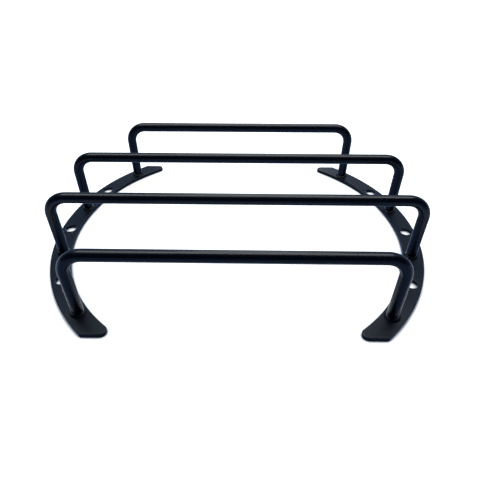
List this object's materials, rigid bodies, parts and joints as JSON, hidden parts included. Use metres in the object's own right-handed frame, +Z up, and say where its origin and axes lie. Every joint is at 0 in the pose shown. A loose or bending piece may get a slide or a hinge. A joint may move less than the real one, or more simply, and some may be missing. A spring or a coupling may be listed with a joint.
{
  "type": "bolt-on luggage rack",
  "caption": "Rigid carrier rack of U-shaped round-bar hoops welded across bowed flat straps with plain bolt holes, in satin black powder coat.",
  "frame": {"origin": "bottom centre of the bounding box: on the plane of the straps' undersides, midway between the straps and midway between the inner hoops", "axes": "+X along the bars towards strap_right; +Y across the bars towards the rear hoops; +Z up from the straps to the bars"},
  "size_m": [0.295, 0.222, 0.057],
  "materials": {
    "rod_coat": "satin black powder coat over round steel bar, fine texture, slightly blue cast",
    "strap_coat": "satin black powder coat over flat steel, fine texture, slightly blue cast",
    "weld_coat": "satin black powder coat over a rippled fillet weld"
  },
  "bodies": {
    "root": {"strap_left": "strap_coat", "strap_right": "strap_coat", "hoop_front_outer": "rod_coat", "hoop_front_inner": "rod_coat", "hoop_rear_inner": "rod_coat", "hoop_rear_outer": "rod_coat", "weld_front_outer_left": "weld_coat", "weld_front_outer_right": "weld_coat", "weld_front_inner_left": "weld_coat", "weld_front_inner_right": "weld_coat", "weld_rear_inner_left": "weld_coat", "weld_rear_inner_right": "weld_coat", "weld_rear_outer_left": "weld_coat", "weld_rear_outer_right": "weld_coat"}
  },
  "joints": []
}
